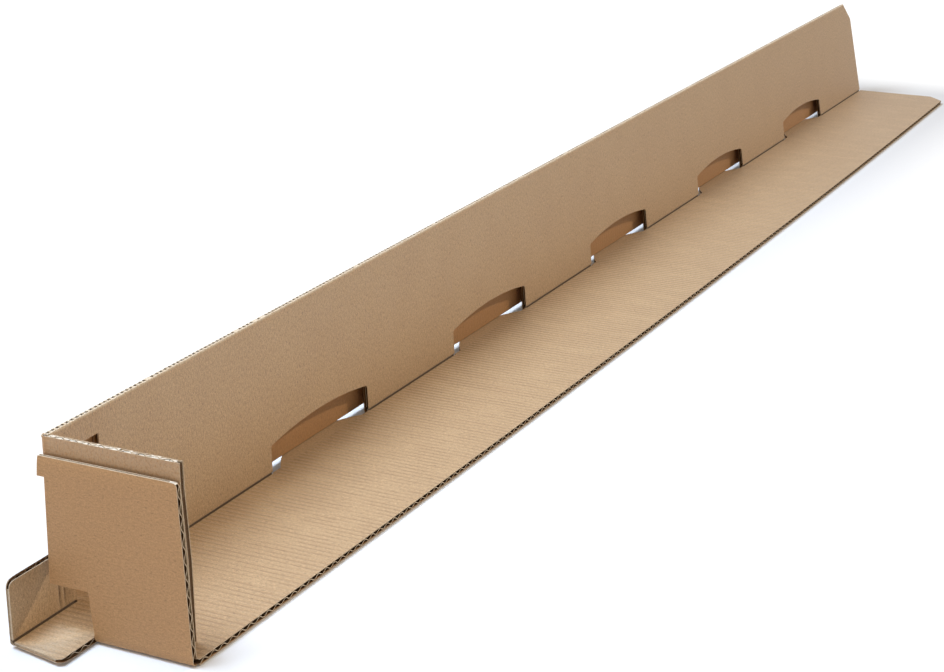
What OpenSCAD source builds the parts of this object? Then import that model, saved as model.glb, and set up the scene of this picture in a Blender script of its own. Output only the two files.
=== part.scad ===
// Pallet edge protector: one die-cut sheet of single-wall corrugated board, creased and folded
// into an angle with a rolled-over double wall, an end cap and a plug-in tongue.
// X runs from the wall across the floor, Y along the length, Z up. The origin is the middle of
// the floor's underside.

/* [Board] */
// Thickness of the corrugated board
board_t = 3; // [2:0.1:4]
// Outer radius of the creased folds
fold_r = 2.4; // [1:0.1:3]
// Air left between two layers that lie against each other
layer_gap = 0.4; // [0.2:0.1:1]

/* [Floor] */
// Length of the floor panel, from the end cap to the free end
floor_len = 1200; // [800:10:1600]
// Width of the floor, from the front of the wall to its free edge
floor_w = 79; // [65:1:120]
// Size of the corner cut off the floor at its free end
floor_corner = 13; // [4:1:20]

/* [Wall] */
// Height of the wall above the floor
wall_h = 82; // [70:1:120]
// How far the wall's near fold lies behind the end cap's fold
wall_setback = 15; // [12:0.5:25]
// How far the wall has sprung back at its free end, in degrees
wall_lean = 11; // [0:1:15]
// Size of the corner cut off the wall at its free end
wall_corner = 14.5; // [4:0.5:20]

/* [Back panel] */
// Gap between the wall and the back panel at the foot
back_gap = 4.3; // [1:0.1:8]
// Height of the sloping shoulder where the board rolls over the wall's top
shoulder_h = 5; // [3:0.5:8]
// How far the back panel stops short of the wall's ends
back_inset = 9; // [4:1:20]

/* [Arched openings] */
// Number of openings along the wall's foot
opening_count = 6; // [1:1:7]
// Distance from one opening to the next
opening_pitch = 200; // [160:5:260]
// Length of an opening
opening_len = 98; // [60:1:120]
// Height of an opening at its ends
opening_side_h = 14.2; // [8:0.1:20]
// Height of an opening at its middle
opening_mid_h = 18.6; // [15:0.1:30]
// Distance from the last opening to the free end
opening_end_margin = 116; // [40:1:160]
// Wall left standing between the near fold and the first opening
near_pier = 10; // [4:0.5:40]

/* [Tabs] */
// Length of a tab along the fold
tab_chord = 83; // [40:1:95]
// How far a tab reaches back from the fold
tab_reach = 13.5; // [11:0.5:14]

/* [End cap] */
// Width of the inner flap
inner_flap_w = 68; // [50:1:78]
// Height of the outer flap above the floor's underside
outer_flap_h = 77; // [65:1:84]
// Width of the outer flap at its foot, from the front of the wall
outer_flap_foot_w = 78; // [50:1:79]
// Width of the outer flap at its top, from the front of the wall
outer_flap_top_w = 68.5; // [50:0.5:78]
// Size of the corner cut off the outer flap's top
outer_flap_corner = 2.5; // [1:0.5:10]
// Distance from the front of the wall to the outer flap's side, at its top
outer_flap_side = 1.4; // [0.5:0.1:6]
// Inward slope of the outer flap's side down to the notch
outer_flap_taper = 3; // [0:0.1:6]
// Height of the ear on the outer flap
ear_h = 8.6; // [4:0.1:15]
// Reach of the ear past the front of the wall
ear_reach = 2.4; // [0.5:0.1:3]
// Height of the notch above the floor's underside
notch_h = 22; // [15:0.5:30]
// How much narrower the notch is at its top than at its foot
notch_taper = 3.5; // [0:0.5:6]

/* [Tongue] */
// Length of the tongue past the end cap, at the fold
tongue_len = 18.5; // [10:0.5:30]
// Extra length of the tongue at the free edge of its floor
tongue_slant = 5; // [0:0.5:10]
// Width of the tongue's floor, from the front of the wall
tongue_w = 28; // [15:0.5:40]
// Height of the tongue's wall above the floor
tongue_h = 27; // [15:0.5:40]
// Radius of the tongue's corners
tongue_r = 3; // [1:0.5:8]

/* [Lock slot] */
// Distance from the wall's near fold to the slot's far end
slot_far = 33.5; // [25:0.5:60]
// Length of the slot
slot_len = 20; // [10:1:24]
// Height of the slot
slot_h = 12; // [5:0.5:20]
// Distance from the wall's top down to the slot
slot_drop = 11.5; // [8:0.5:30]

/* [Hidden] */
$fn = 64;
kraft = "#b8936a";
// Extra length that carries a cutter clear of the faces it cuts
clear = 2;
// Depth to which the wall is sunk into the floor's folded edge
sink = 0.6 * board_t;
// Number of straight stretches that follow the wall's twist
stations = 24;
wall_x = -floor_w / 2;
near_y = -floor_len / 2;
far_y = floor_len / 2;
crease_y = near_y + wall_setback;
wall_len = far_y - crease_y;
// Places along X, measured from the front of the wall
free_edge_x = wall_x + floor_w;
// The outer flap leans in until it rests on the inner flap
flap_shift = wall_setback - 2 * board_t - layer_gap;
// The last opening's far end sets the row of openings
last_opening_y = far_y - opening_end_margin - opening_len;
first_cut_y = crease_y + near_pier;
opening_starts = [
    for (k = [0:opening_count - 1])
        let (start = last_opening_y - k * opening_pitch)
        if (start + tab_chord > first_cut_y + board_t) start
];
// Radii of the arches, from their chords and rises
function arc_r(chord, rise) = (chord * chord / 4 + rise * rise) / (2 * rise);
opening_r = arc_r(opening_len, opening_mid_h - opening_side_h);
tab_r = arc_r(tab_chord, tab_reach);
// Lean of the wall at a place along the length, growing from the end cap to the free end
function lean_at(y) = wall_lean * max(0, y - crease_y) / wall_len;
// A point of the wall's own section, at u in front of its face and v above the floor, in space
function on_wall(u, v, y) =
    let (a = lean_at(y))
    [wall_x + u * cos(a) - v * sin(a), y, board_t + v * cos(a) + u * sin(a)];
// A point that keeps its place in space at every lean
function on_floor(u, z, y) = [wall_x + u, y, z];
// Sections of the wall, pinched where it is creased to the floor, and of the back panel that
// hangs from its top
function wall_section(y) = [
    on_wall(0, -sink, y),
    on_wall(0, wall_h, y),
    on_wall(-board_t, wall_h, y),
    on_wall(-board_t, board_t / 2, y),
    on_wall(-0.6 * board_t, -sink, y)
];
function back_section(y) = [
    on_wall(-0.7 * board_t, wall_h - layer_gap, y),
    on_wall(-2 * board_t - layer_gap, wall_h - shoulder_h, y),
    on_floor(-2 * board_t - back_gap, board_t + layer_gap, y),
    on_floor(-board_t - back_gap, board_t + layer_gap, y),
    on_wall(-board_t - layer_gap, wall_h - 1.3 * shoulder_h, y),
    on_wall(-0.7 * board_t, wall_h - 1.3 * shoulder_h, y)
];
// Places of the sections along the two layers, with a straight lead-in at the near fold
lead_in = (board_t - fold_r) / 2;
back_len = wall_len - 2 * back_inset;
back_stations = [for (i = [0:stations]) crease_y + back_inset + back_len * i / stations];
wall_stations = concat([crease_y - lead_in, crease_y], back_stations, [far_y]);
// Points on an arc about a centre, from one angle to another
function arc(c, r, from, to, steps = 6) =
    [for (i = [0:steps]) c + r * [cos(from + (to - from) * i / steps), sin(from + (to - from) * i / steps)]];

// A closed skin over sections that have the same number of points, with each end closed by the
// convex faces in ends. Every twisted face is split along the same slant, so the two faces of a
// board stay one thickness apart.
module loft(sections, ends) {
    n = len(sections[0]);
    m = len(sections);
    sides = [
        for (j = [0:m - 2], i = [0:n - 1])
            let (
                a = j * n + i,
                b = j * n + (i + 1) % n,
                c = a + n,
                d = b + n,
                rises = sections[j][(i + 1) % n][2] > sections[j][i][2]
            )
            each (rises ? [[a, b, c], [c, b, d]] : [[a, b, d], [a, d, c]])
    ];
    start = [for (e = ends) [for (i = [len(e) - 1:-1:0]) e[i]]];
    end = [for (e = ends) [for (i = e) (m - 1) * n + i]];
    polyhedron([for (s = sections) each s], concat(sides, start, end));
}

// A flat outline in X and Z, raised along Y
module raise_y(from, to) {
    translate([0, to, 0])
        rotate([90, 0, 0])
            linear_extrude(to - from)
                children();
}

// A flat outline in Y and Z, raised along X
module raise_x(from, to) {
    translate([from, 0, 0])
        rotate([90, 0, 90])
            linear_extrude(to - from)
                children();
}

// Whatever stands square to the wall, tilted with the wall's lean at y
module with_lean(y) {
    translate([wall_x, 0, board_t])
        rotate([0, -lean_at(y), 0])
            children();
}

// Outline of an opening in Y and Z, cut short where it would reach the wall's near fold
module opening_outline(start, below) {
    first = max(start, first_cut_y);
    mid = start + opening_len / 2;
    intersection() {
        translate([first, -below])
            square([start + opening_len - first, opening_mid_h + below]);
        translate([mid, opening_mid_h - opening_r])
            circle(opening_r, $fn = 360);
    }
}

module openings() {
    for (start = opening_starts)
        with_lean(start + opening_len / 2)
            raise_x(-1.5 * board_t, clear)
                opening_outline(start, sink + clear);
}

// The strip of the floor's folded edge that each opening takes away, cut a hair longer than the
// opening so that the die's two cuts never fall in one plane
module opening_feet() {
    for (start = opening_starts) {
        first = max(start, first_cut_y) - layer_gap / 2;
        translate([wall_x - board_t - clear, first, -clear])
            cube([board_t + clear, start + opening_len - first + layer_gap / 2, board_t + 2 * clear]);
    }
}

// Tabs that stay in the floor's plane behind each opening
module tabs() {
    for (start = opening_starts) {
        mid = start + opening_len / 2;
        first = max(mid - tab_chord / 2, first_cut_y + (opening_len - tab_chord) / 2);
        linear_extrude(board_t)
            intersection() {
                translate([wall_x + tab_r - tab_reach, mid])
                    circle(tab_r, $fn = 180);
                translate([wall_x - tab_reach, first])
                    square([tab_reach + clear, mid + tab_chord / 2 - first]);
            }
    }
}

// Section of the floor, with its folded edge rounded
module floor_section() {
    polygon(concat(
        [[free_edge_x, 0], [free_edge_x, board_t], [wall_x - board_t, board_t]],
        arc([wall_x - board_t + fold_r, fold_r], fold_r, 180, 270)
    ));
}

module floor_panel() {
    difference() {
        raise_y(near_y + board_t / 2, far_y)
            floor_section();
        opening_feet();
        translate([0, 0, -clear])
            linear_extrude(board_t + 2 * clear)
                polygon([
                    [free_edge_x - floor_corner, far_y],
                    [free_edge_x + clear, far_y - floor_corner - clear],
                    [free_edge_x + clear, far_y + clear],
                    [free_edge_x - floor_corner, far_y + clear]
                ]);
    }
}

// Front wall with its openings and the slot for a lock tab
module front_wall() {
    difference() {
        loft([for (y = wall_stations) wall_section(y)], [[0, 1, 2, 3, 4]]);
        openings();
        with_lean(crease_y)
            translate([-board_t - layer_gap / 2, crease_y + slot_far - slot_len, wall_h - slot_drop - slot_h])
                cube([board_t + clear, slot_len, slot_h]);
    }
}

// Layer that rolls over the top of the wall and hangs behind it
module back_panel() {
    loft([for (y = back_stations) back_section(y)], [[0, 1, 4, 5], [1, 2, 3, 4]]);
}

// The corner cut off both layers of the wall at the free end
module wall_corner_cut() {
    with_lean(far_y)
        raise_x(-4 * board_t, board_t)
            polygon([
                [far_y - wall_corner, wall_h],
                [far_y + clear, wall_h - wall_corner - clear],
                [far_y + clear, wall_h + clear],
                [far_y - wall_corner, wall_h + clear]
            ]);
}

// Inner flap of the end cap: the wall's own end, folded across the floor
module inner_flap() {
    difference() {
        translate([0, 0, board_t + layer_gap])
            linear_extrude(wall_h - layer_gap)
                polygon(concat(
                    [[wall_x - board_t, crease_y]],
                    arc([wall_x - board_t + fold_r, crease_y - board_t + fold_r], fold_r, 180, 270),
                    [
                        [wall_x + inner_flap_w, crease_y - board_t],
                        [wall_x + inner_flap_w, crease_y]
                    ]
                ));
        translate([wall_x - board_t - clear, crease_y - board_t - clear, 0])
            cube([
                wall_setback + tongue_len + board_t + clear,
                board_t + clear,
                board_t + tongue_h + layer_gap
            ]);
    }
}

// Outer flap of the end cap: the floor's own end, folded up and leaning on the inner flap
module outer_flap() {
    h = outer_flap_h;
    c = outer_flap_corner;
    intersection() {
        raise_x(wall_x - board_t - clear, free_edge_x + clear)
            polygon(concat(
                arc([near_y + fold_r, fold_r], fold_r, 180, 270),
                [
                    [near_y + board_t, 0],
                    [near_y + board_t + flap_shift, h],
                    [near_y + flap_shift, h]
                ]
            ));
        raise_y(near_y - clear, crease_y)
            translate([wall_x, 0])
                polygon([
                    [tongue_w, -clear],
                    [outer_flap_foot_w, -clear],
                    [outer_flap_foot_w, 0],
                    [outer_flap_top_w, h - c],
                    [outer_flap_top_w - c, h],
                    [-ear_reach, h],
                    [-ear_reach, h - ear_h],
                    [outer_flap_side, h - ear_h],
                    [outer_flap_side + outer_flap_taper, notch_h],
                    [tongue_w - notch_taper, notch_h],
                    [tongue_w, board_t]
                ]);
    }
}

// Tongue: the angle's own corner, left straight where the two flaps are folded away
module tongue() {
    tip_y = near_y - tongue_len;
    r = tongue_r;
    raise_x(wall_x - board_t, wall_x)
        polygon(concat(
            [[crease_y, fold_r], [crease_y, board_t + tongue_h]],
            arc([tip_y + r, board_t + tongue_h - r], r, 90, 180),
            [[tip_y, fold_r]]
        ));
    intersection() {
        raise_y(tip_y - tongue_slant - clear, near_y + board_t)
            floor_section();
        translate([0, 0, -clear])
            linear_extrude(board_t + 2 * clear)
                polygon(concat(
                    [
                        [wall_x - board_t - clear, near_y + board_t + clear],
                        [wall_x - board_t - clear, tip_y],
                        [wall_x, tip_y]
                    ],
                    arc([wall_x + tongue_w - r, tip_y - tongue_slant + r], r, 270, 360),
                    [[wall_x + tongue_w, near_y + board_t + clear]]
                ));
    }
}

module edge_protector() {
    color(kraft) {
        difference() {
            union() {
                front_wall();
                back_panel();
            }
            wall_corner_cut();
        }
        floor_panel();
        tabs();
        inner_flap();
        outer_flap();
        tongue();
    }
}

edge_protector();
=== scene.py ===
"""Looks of a pallet edge protector: one sheet of single-wall corrugated board, die-cut, creased and
folded into an angle. The board is made as it really is: two kraft liners with a fluted paper between
them, so every cut edge shows its open flutes."""
import math

import bmesh
import bpy
import numpy as np
from mathutils import Matrix, Vector


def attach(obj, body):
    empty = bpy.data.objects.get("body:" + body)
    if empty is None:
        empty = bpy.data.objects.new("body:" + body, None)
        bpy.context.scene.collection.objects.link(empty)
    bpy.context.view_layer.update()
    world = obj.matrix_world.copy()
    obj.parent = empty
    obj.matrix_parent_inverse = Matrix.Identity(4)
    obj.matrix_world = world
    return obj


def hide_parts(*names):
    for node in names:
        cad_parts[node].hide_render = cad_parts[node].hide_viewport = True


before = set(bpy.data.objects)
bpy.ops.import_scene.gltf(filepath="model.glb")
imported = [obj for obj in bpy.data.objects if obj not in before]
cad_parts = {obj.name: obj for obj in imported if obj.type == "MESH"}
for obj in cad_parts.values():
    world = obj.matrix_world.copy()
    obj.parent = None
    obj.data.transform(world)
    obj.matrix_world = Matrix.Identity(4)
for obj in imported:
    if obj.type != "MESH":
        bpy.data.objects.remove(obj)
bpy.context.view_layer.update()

# Sizes in millimetres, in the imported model's frame
MM = 0.001
TINY = 1e-6
BOARD_T = 3.0
LINER_T = 0.36
FLUTING_T = 0.24
FLUTE_PITCH = 6.9
FOLD_R = 2.4
LAYER_GAP = 0.4
FLOOR_LEN, FLOOR_W, FLOOR_CORNER = 1200.0, 79.0, 13.0
# The floor is straight as far as this from the wall, and its free edge bows out past that
BOW_START, FLOOR_BOW = 40.0, 5.0
WALL_H, WALL_SETBACK, WALL_CORNER = 82.0, 15.0, 14.5
WALL_LEAN = math.radians(11.0)
BACK_GAP, SHOULDER_H, BACK_INSET = 4.3, 5.0, 9.0
OPENING_COUNT, OPENING_PITCH, OPENING_LEN = 6, 200.0, 98.0
OPENING_SIDE_H, OPENING_MID_H, OPENING_END_MARGIN, OPENING_R = 14.2, 18.6, 116.0, 2.0
NEAR_PIER = 10.0
TAB_CHORD, TAB_REACH, TAB_CLEAR = 83.0, 13.5, 0.4
INNER_FLAP_W, INNER_FLAP_FOOT_W = 68.0, 69.8
OUTER_FLAP_H, OUTER_FOOT_W, OUTER_TOP_W, OUTER_CORNER = 77.0, 78.0, 68.5, 2.5
OUTER_SIDE, OUTER_TAPER, EAR_H, EAR_REACH = 1.4, 3.0, 8.6, 2.4
NOTCH_H, NOTCH_TAPER = 22.0, 3.5
TONGUE_LEN, TONGUE_SLANT, TONGUE_W, TONGUE_H, TONGUE_R = 18.5, 5.0, 28.0, 27.0, 3.0
SLOT_FAR, SLOT_LEN, SLOT_H, SLOT_DROP = 33.5, 20.0, 12.0, 11.5

WALL_X = -FLOOR_W / 2
NEAR_Y, FAR_Y = -FLOOR_LEN / 2, FLOOR_LEN / 2
CREASE_Y = NEAR_Y + WALL_SETBACK
FLAP_SHIFT = WALL_SETBACK - 2 * BOARD_T - LAYER_GAP
NEAR_IN = NEAR_Y + BOARD_T + FLAP_SHIFT * BOARD_T / OUTER_FLAP_H
TIP_Y = NEAR_Y - TONGUE_LEN
SLOT_START, SLOT_END = CREASE_Y + SLOT_FAR - SLOT_LEN, CREASE_Y + SLOT_FAR
SLOT_LOW, SLOT_HIGH = WALL_H - SLOT_DROP - SLOT_H, WALL_H - SLOT_DROP
# Heights on the wall: where its face bends over, where the back panel turns down, and its flutes' start
CREST_V = WALL_H - 1.2
SHOULDER_V = WALL_H - SHOULDER_H - 0.2
PANEL_TOP = WALL_H - SHOULDER_H - 1
# Order of the materials on the board
LOAD_LINER, OUTER_LINER, CUT_EDGE, FLUTING, TORN = 0, 1, 2, 3, 4


def unit(v):
    """A share, kept between 0 and 1."""
    return min(1.0, max(0.0, v))


def arc_radius(chord, rise):
    """Radius of an arc from its chord and its rise."""
    return (chord * chord / 4 + rise * rise) / (2 * rise)


def round_off(past, r):
    """How far a corner of radius r is cut back, at a distance past the start of its round."""
    return r - math.sqrt(max(0.0, r ** 2 - past ** 2)) if past > 0 else 0.0


ARCH_R = arc_radius(OPENING_LEN, OPENING_MID_H - OPENING_SIDE_H)
TAB_R = arc_radius(TAB_CHORD, TAB_REACH)
LAST_START = FAR_Y - OPENING_END_MARGIN - OPENING_LEN
OPENING_STARTS = [LAST_START - OPENING_PITCH * k for k in reversed(range(OPENING_COUNT))]
# Each opening's two ends and the middle of its arch. The first is cut short by the wall's near fold.
OPENINGS = [(max(start, CREASE_Y + NEAR_PIER), start + OPENING_LEN, start + OPENING_LEN / 2)
            for start in OPENING_STARTS]


def lean_at(y):
    """Lean of the wall, which grows from the end cap to the free end."""
    return WALL_LEAN * max(0.0, y - CREASE_Y) / (FAR_Y - CREASE_Y)


def on_wall(u, v, y):
    """A point at u in front of the wall's face and v above the floor, leaning with the wall at y."""
    a = lean_at(y)
    return (WALL_X + u * math.cos(a) - v * math.sin(a), y, BOARD_T + v * math.cos(a) + u * math.sin(a))


def arch_at(y, opening):
    """Height of an opening's edge above the floor, with its two corners rounded."""
    first, last, middle = opening
    inside = min(max(y, first + OPENING_R), last - OPENING_R)
    top = OPENING_MID_H - ARCH_R + math.sqrt(ARCH_R ** 2 - (inside - middle) ** 2)
    return top - round_off(OPENING_R - min(y - first, last - y), OPENING_R)


def tab_at(y, opening):
    """How far the tab behind an opening reaches past the fold."""
    first, last, middle = opening
    if abs(y - middle) >= TAB_CHORD / 2 or y < first + TAB_CLEAR:
        return 0.0
    return TAB_REACH - TAB_R + math.sqrt(TAB_R ** 2 - (y - middle) ** 2)


def free_edge_at(y):
    """Distance of the floor's free edge from the wall, with its slight bow and the cut far corner."""
    edge = FLOOR_W + FLOOR_BOW * (1 - (y / FAR_Y) ** 2)
    past = y - (FAR_Y - FLOOR_CORNER)
    return min(edge, FLOOR_W - past) if past > 0 else edge


def corner_drop(y):
    """How much lower the wall is where its far corner is cut off."""
    return max(0.0, y - (FAR_Y - WALL_CORNER))


def wall_top_at(y):
    """Height at which the wall's face bends over."""
    return CREST_V - corner_drop(y)


# Height of the piers between the openings, and where two lines are pressed across the near fold
PIER_TOP = arch_at(OPENINGS[1][0], OPENINGS[1])
NEAR_LINES = (-1.2, 2.2)

# Places along the length where a cut, a hole, a line or a panel begins or ends
MARKS = [CREASE_Y + line + d for line in NEAR_LINES for d in (-0.8, -0.4, 0.0, 0.4, 0.8)]
MARKS += [NEAR_IN, CREASE_Y, CREASE_Y + BACK_INSET, SLOT_START, SLOT_END,
          FAR_Y - WALL_CORNER, FAR_Y - FLOOR_CORNER, FAR_Y - BACK_INSET, FAR_Y]
for first, last, middle in OPENINGS:
    MARKS += [first, last]
    MARKS += [y for y in (middle - TAB_CHORD / 2, middle + TAB_CHORD / 2) if y > first]


def columns(start, end, step):
    """Places from start to end, at most a step apart, that include every mark between them."""
    stops = sorted({start, end} | {m for m in MARKS if start < m < end})
    places = [start]
    for a, b in zip(stops, stops[1:]):
        n = max(1, math.ceil((b - a) / step))
        places += [a + (b - a) * (i + 1) / n for i in range(n)]
    return places


def stretches():
    """The length split into plain stretches, with None, and openings."""
    at, out = NEAR_IN, []
    corner = [0.25, 0.7, 1.3, OPENING_R]
    for opening in OPENINGS:
        first, last = opening[:2]
        out.append((columns(at, first, FLUTE_PITCH), None))
        places = set(columns(first, last, FLUTE_PITCH / 2))
        places |= {first + c for c in corner} | {last - c for c in corner}
        out.append((sorted(places), opening))
        at = last
    out.append((columns(at, FAR_Y, FLUTE_PITCH), None))
    return out


class Board:
    """Gathers the papers of the board as closed thin shells in one mesh."""

    def __init__(self):
        self.points, self.sheet, self.worn, self.faces, self.kinds = [], [], [], [], []

    def paper(self, patches, kind, edge_kind):
        """Adds one paper from patches that share their edges. A patch holds the points of its open and
        its hidden side, their places on the flat sheet, their wear and painted light, and which of its
        cells are there."""
        index, a_side, b_side, sheet, worn, quads = {}, [], [], [], [], []
        for a, b, s, w, keep in patches:
            m, n = a.shape[:2]
            ids = np.empty((m, n), int)
            for i in range(m):
                for j in range(n):
                    key = tuple(np.round(a[i, j], 3)) + tuple(np.round(b[i, j], 3))
                    if key not in index:
                        index[key] = len(a_side)
                        a_side.append(a[i, j])
                        b_side.append(b[i, j])
                        sheet.append(s[i, j])
                        worn.append(w[i, j])
                    ids[i, j] = index[key]
            for i in range(m - 1):
                for j in range(n - 1):
                    if keep is not None and not keep[i, j]:
                        continue
                    loop = [ids[i, j], ids[i + 1, j], ids[i + 1, j + 1], ids[i, j + 1]]
                    loop = [p for k, p in enumerate(loop) if p != loop[k - 1]]
                    if len(loop) > 2:
                        quads.append(loop)
        count, base = {}, len(self.points)
        for loop in quads:
            for p, q in zip(loop, loop[1:] + loop[:1]):
                count[(min(p, q), max(p, q))] = count.get((min(p, q), max(p, q)), 0) + 1
        n = len(a_side)
        self.points += a_side + b_side
        self.sheet += sheet + sheet
        self.worn += worn + worn
        for loop in quads:
            self.faces += [[base + p for p in loop], [base + n + p for p in loop[::-1]]]
            self.kinds += [kind, kind]
        for (p, q), uses in count.items():
            if uses == 1:
                self.faces.append([base + p, base + q, base + n + q, base + n + p])
                self.kinds.append(edge_kind)


def patch(rows_of, places, keep=None):
    """A patch from rows of (open side, hidden side, place on the flat sheet, wear and painted light) at
    each place.
    """
    table = [rows_of(p) for p in places]
    a = np.array([[r[0] for r in rows] for rows in table], float)
    b = np.array([[r[1] for r in rows] for rows in table], float)
    s = np.array([[r[2] for r in rows] for rows in table], float)
    w = np.array([[r[3] if len(r) > 3 else 0.0 for r in rows] for rows in table], float)
    return a, b, s, w, keep


# Rows across the floor, from its free edge to the fold, and up the wall
NEXT_TO_FOLD = 2.5
FLOOR_ROWS = [FLOOR_W, 78.0, 70.0, 60.0, 50.0, BOW_START, 28.0, 20.0, 12.0, 6.0, NEXT_TO_FOLD]
PIER_ROWS = [4.0, 8.0]
# Rows above this height follow the cut corner at the far end
UPPER_WALL = 49.0
WALL_ROWS = [TONGUE_H, 38.0, UPPER_WALL, SLOT_LOW, SLOT_HIGH, WALL_H - SHOULDER_H, CREST_V]
# The row of cells that the lock slot takes out, counted from the top
SLOT_ROW = -3
# The load-side liner is crushed into a narrow groove along the fold. Points of the groove, from the
# floor to its bottom and from its bottom up the wall, as (across, up) from the fold's inner corner.
GROOVE_FLOOR = [((0.75, 0.0), (0.75, -0.36)), ((0.5, -0.3), (0.2, -0.5)), ((0.35, -1.1), (0.05, -1.4))]
GROOVE_BOTTOM = ((-0.6, -1.3), (-0.7, -1.62))
GROOVE_WALL = [((-0.75, 0.05), (-1.1, 0.0)), ((-0.45, 0.35), (-0.8, 0.3)), ((0.0, 0.7), (-0.36, 0.8))]
# Painted shade of a point that is pressed in deeper than the groove's lip. Values below 0 are painted
# shade, above 0 pale fibres, and on the tongue's floor a painted highlight.
GROOVE_PAINTED_SHADE, GROOVE_LIP = -0.75, -0.2


def groove_shade(depth):
    """Painted shade of a point of the groove, dark where it is pressed in past the lip."""
    return GROOVE_PAINTED_SHADE if depth < GROOVE_LIP else 0.0


def groove_on_floor(y):
    """Rows of the groove from the floor to its bottom."""
    return [((WALL_X + ax, y, BOARD_T + az), (WALL_X + bx, y, BOARD_T + bz), (-ax, y), groove_shade(az))
            for (ax, az), (bx, bz) in GROOVE_FLOOR + [GROOVE_BOTTOM]]


def groove_on_wall(y):
    """Rows of the groove from its bottom up the wall."""
    return groove_on_floor(y)[-1:] + [
        (on_wall(au, av, y), on_wall(bu, bv, y), (av, y), groove_shade(au))
        for (au, av), (bu, bv) in GROOVE_WALL]


def floor_x(x, y):
    """Where a floor row lies at y, after the bow of the free edge and the cut corner."""
    if x <= BOW_START:
        return x
    return BOW_START + (x - BOW_START) * (free_edge_at(y) - BOW_START) / (FLOOR_W - BOW_START)


def to_fold(end, shares):
    """Places from the floor's last row to an end at the fold or past it."""
    return [NEXT_TO_FOLD + (end - NEXT_TO_FOLD) * f for f in shares]


def level_rows(y, across, z, hidden):
    """Rows of a level liner at a height."""
    return [((WALL_X + x, y, z), (WALL_X + x, y, z + hidden), (-x, y)) for x in across]


def floor_top_rows(y, opening):
    """The floor's load side, down into the groove or out to the end of a tab."""
    out = level_rows(y, [floor_x(x, y) for x in FLOOR_ROWS], BOARD_T, -LINER_T)
    if opening is None:
        return out + groove_on_floor(y)
    return out + level_rows(y, to_fold(-tab_at(y, opening), (0.35, 0.6, 0.85, 1.0)), BOARD_T, -LINER_T)


def floor_under_rows(y, opening):
    """The floor's underside, to the start of the fold or the end of a tab."""
    end = FOLD_R - BOARD_T if opening is None else -tab_at(y, opening)
    across = [floor_x(x, y) for x in FLOOR_ROWS] + to_fold(end, (0.4, 0.75, 1.0))
    return level_rows(y, across, 0.0, LINER_T)


def wall_rows_above(y, opening):
    """Heights of the wall's rows from the opening's edge up."""
    low = PIER_TOP if opening is None else arch_at(y, opening)
    rows = [low, low + (TONGUE_H - low) * 0.5] + WALL_ROWS
    squeeze = (wall_top_at(y) - UPPER_WALL) / (CREST_V - UPPER_WALL)
    return [v if v <= UPPER_WALL else UPPER_WALL + (v - UPPER_WALL) * squeeze for v in rows]


def near_crease(y):
    """Depth of the lines pressed in where the tongue runs on into the wall, and the painted shade along
    them.
    """
    depth = sum(math.exp(-((y - CREASE_Y - line) / 0.55) ** 2) for line in NEAR_LINES)
    return -0.5 * depth, -0.45 * depth


def face_row(v, y, dent=0.0, shade=0.0):
    """A row of the wall's load side at a height, with a dent and painted shade."""
    return on_wall(dent, v, y), on_wall(dent - LINER_T, v, y), (v, y), shade


def wall_front_rows(y, opening):
    """The wall's load side, from the groove or an opening up to the crest."""
    line, out = near_crease(y), []
    if opening is None:
        out = groove_on_wall(y) + [face_row(v, y, *line) for v in PIER_ROWS]
    # The pressed lines end just below the tongue's top
    return out + [face_row(v, y, *(line if v < TONGUE_H - 1 else ())) for v in wall_rows_above(y, opening)]


def bend_arc(centre, start, turn, steps=4):
    """Points of the open and the hidden side round the outside of a fold, from an angle by a turn."""
    for i in range(steps + 1):
        a = math.radians(start + turn * i / steps)
        yield [(centre[0] + r * math.cos(a), centre[1] + r * math.sin(a))
               for r in (FOLD_R, FOLD_R - LINER_T)]


def long_fold():
    """The outside of the long fold, as (across, up) from the wall's face and the ground."""
    return bend_arc((FOLD_R - BOARD_T, FOLD_R), 270, -90)


def wall_back_rows(y, opening):
    """The wall's outer side, from the long fold or an opening up to the shoulder."""
    out, heights = [], [min(v, SHOULDER_V) for v in wall_rows_above(y, opening)]
    if opening is None:
        out = [((WALL_X + ax, y, az), (WALL_X + bx, y, bz), (az, y)) for (ax, az), (bx, bz) in long_fold()]
        heights = PIER_ROWS + heights
    return out + [(on_wall(-BOARD_T, v, y), on_wall(LINER_T - BOARD_T, v, y), (v, y)) for v in heights]


def back_point(depth, v_top, f, y):
    """A point of the back panel at a depth behind the wall's face, at a share f of the way from its
    shoulder to its level foot."""
    top = np.array(on_wall(-depth - LAYER_GAP, v_top - corner_drop(y), y))
    foot = np.array((WALL_X - depth - BACK_GAP, y, BOARD_T + LAYER_GAP))
    return top + (foot - top) * f


def back_rows(depth, v_top, hidden, y):
    """Rows of one liner of the back panel, from its shoulder to its foot."""
    out = []
    for f in (0.0, 0.06, 0.3, 0.55, 0.8, 1.0):
        a = back_point(depth, v_top, f, y)
        out.append((a, a + np.array((hidden, 0, 0)), (2 * WALL_H - (WALL_H - SHOULDER_H) * (1 - f), y)))
    return out


# The load-side liner behind the crest: in front of the wall's face, and above the floor
ROLL = [(-3.6, CREST_V), (-5.0, 79.4)]


def back_outer_rows(y):
    """The back panel's load-side liner, which faces away from the wall."""
    drop = corner_drop(y)
    out = [(on_wall(u, v - drop, y), on_wall(u + 0.24, v - drop - 0.27, y), (2 * WALL_H - v, y))
           for u, v in ROLL]
    return out + back_rows(2 * BOARD_T, WALL_H - SHOULDER_H, LINER_T, y)


def back_inner_rows(y):
    """The back panel's outer liner, which is seen through the openings."""
    v, on_sheet = SHOULDER_V - corner_drop(y), (WALL_H - SHOULDER_H, y)
    out = [(on_wall(-BOARD_T, v, y), on_wall(LINER_T - BOARD_T, v, y), on_sheet),
           (on_wall(-BOARD_T - 0.2, v + 0.3, y), on_wall(-BOARD_T - 0.2, v + 0.66, y), on_sheet)]
    return out + back_rows(BOARD_T, SHOULDER_V, -LINER_T, y)


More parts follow.
